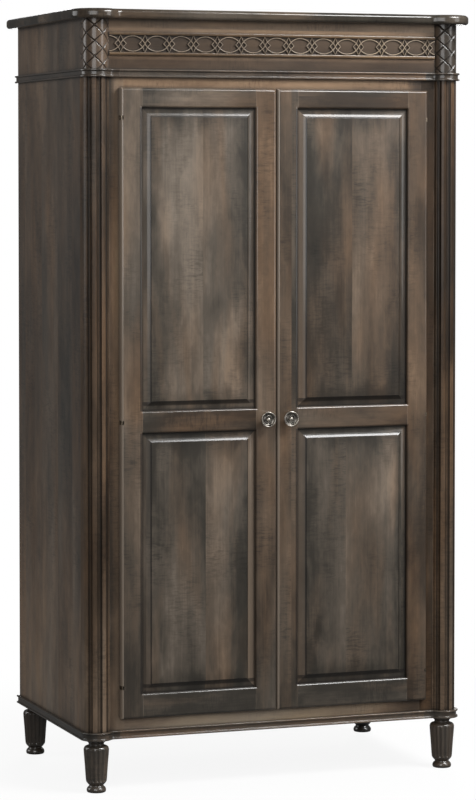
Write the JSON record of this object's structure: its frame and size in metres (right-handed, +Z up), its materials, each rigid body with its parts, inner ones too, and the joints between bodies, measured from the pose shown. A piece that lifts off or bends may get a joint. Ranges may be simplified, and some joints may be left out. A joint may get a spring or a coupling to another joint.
{
  "type": "wardrobe",
  "caption": "Wardrobe with paired panelled doors on pivot hinges, fluted corner columns, fretted frieze and turned feet; hat shelf and hanging rail inside.",
  "frame": {"origin": "on the floor, at the middle of the outline in plan", "axes": "+Z up, the doors face -Y, +X to the right of someone facing the doors"},
  "size_m": [1.096, 0.657, 2],
  "materials": {
    "stained_wood": "grey-brown stain under gloss lacquer",
    "inner_wood": "stained, satin",
    "aged_nickel": "aged nickel",
    "hinge_bronze": "dull plated",
    "steel": "zinc plated",
    "catch_plastic": "matt"
  },
  "bodies": {
    "carcass": {"back_panel": "inner_wood", "base_moulding_front": "stained_wood", "base_moulding_left": "stained_wood", "base_moulding_right": "stained_wood", "bottom_face_rail": "stained_wood", "ceiling_board": "inner_wood", "door_catches": "catch_plastic", "floor_board": "inner_wood", "foot_bolts": "steel", "fret_strip": "stained_wood", "frieze_board": "stained_wood", "front_left_foot": "stained_wood", "front_right_foot": "stained_wood", "hanging_rail": "steel", "hat_shelf": "inner_wood", "hinge_frame_leaves": "hinge_bronze", "hinge_frame_screws": "steel", "hinge_pins": "hinge_bronze", "left_column": "stained_wood", "left_face_stile": "stained_wood", "left_frieze_block": "stained_wood", "left_side_panel": "stained_wood", "rail_sockets": "steel", "rear_foot_blocks": "inner_wood", "rear_left_foot": "stained_wood", "rear_right_foot": "stained_wood", "right_column": "stained_wood", "right_face_stile": "stained_wood", "right_frieze_block": "stained_wood", "right_side_panel": "stained_wood", "shelf_cleats": "inner_wood", "top_board": "stained_wood", "top_face_rail": "stained_wood", "waist_moulding_front": "stained_wood", "waist_moulding_left": "stained_wood", "waist_moulding_right": "stained_wood"},
    "left_door": {"left_door_bottom_rail": "stained_wood", "left_door_catch_plate": "steel", "left_door_hinge_leaves": "hinge_bronze", "left_door_hinge_screws": "steel", "left_door_hinge_stile": "stained_wood", "left_door_knob": "aged_nickel", "left_door_knob_screw": "steel", "left_door_lower_panel": "stained_wood", "left_door_meeting_stile": "stained_wood", "left_door_middle_rail": "stained_wood", "left_door_top_rail": "stained_wood", "left_door_upper_panel": "stained_wood"},
    "right_door": {"right_door_bottom_rail": "stained_wood", "right_door_catch_plate": "steel", "right_door_hinge_leaves": "hinge_bronze", "right_door_hinge_screws": "steel", "right_door_hinge_stile": "stained_wood", "right_door_knob": "aged_nickel", "right_door_knob_screw": "steel", "right_door_lower_panel": "stained_wood", "right_door_meeting_stile": "stained_wood", "right_door_middle_rail": "stained_wood", "right_door_top_rail": "stained_wood", "right_door_upper_panel": "stained_wood"}
  },
  "joints": [
    {"name": "left_door_swing", "type": "hinge", "parent": "carcass", "child": "left_door", "pos_m": [-0.421, -0.2915, 0.948], "axis": [0, 0, -1], "range_deg": [0, 110]},
    {"name": "right_door_swing", "type": "hinge", "parent": "carcass", "child": "right_door", "pos_m": [0.421, -0.2915, 0.948], "axis": [0, 0, 1], "range_deg": [0, 110]}
  ]
}
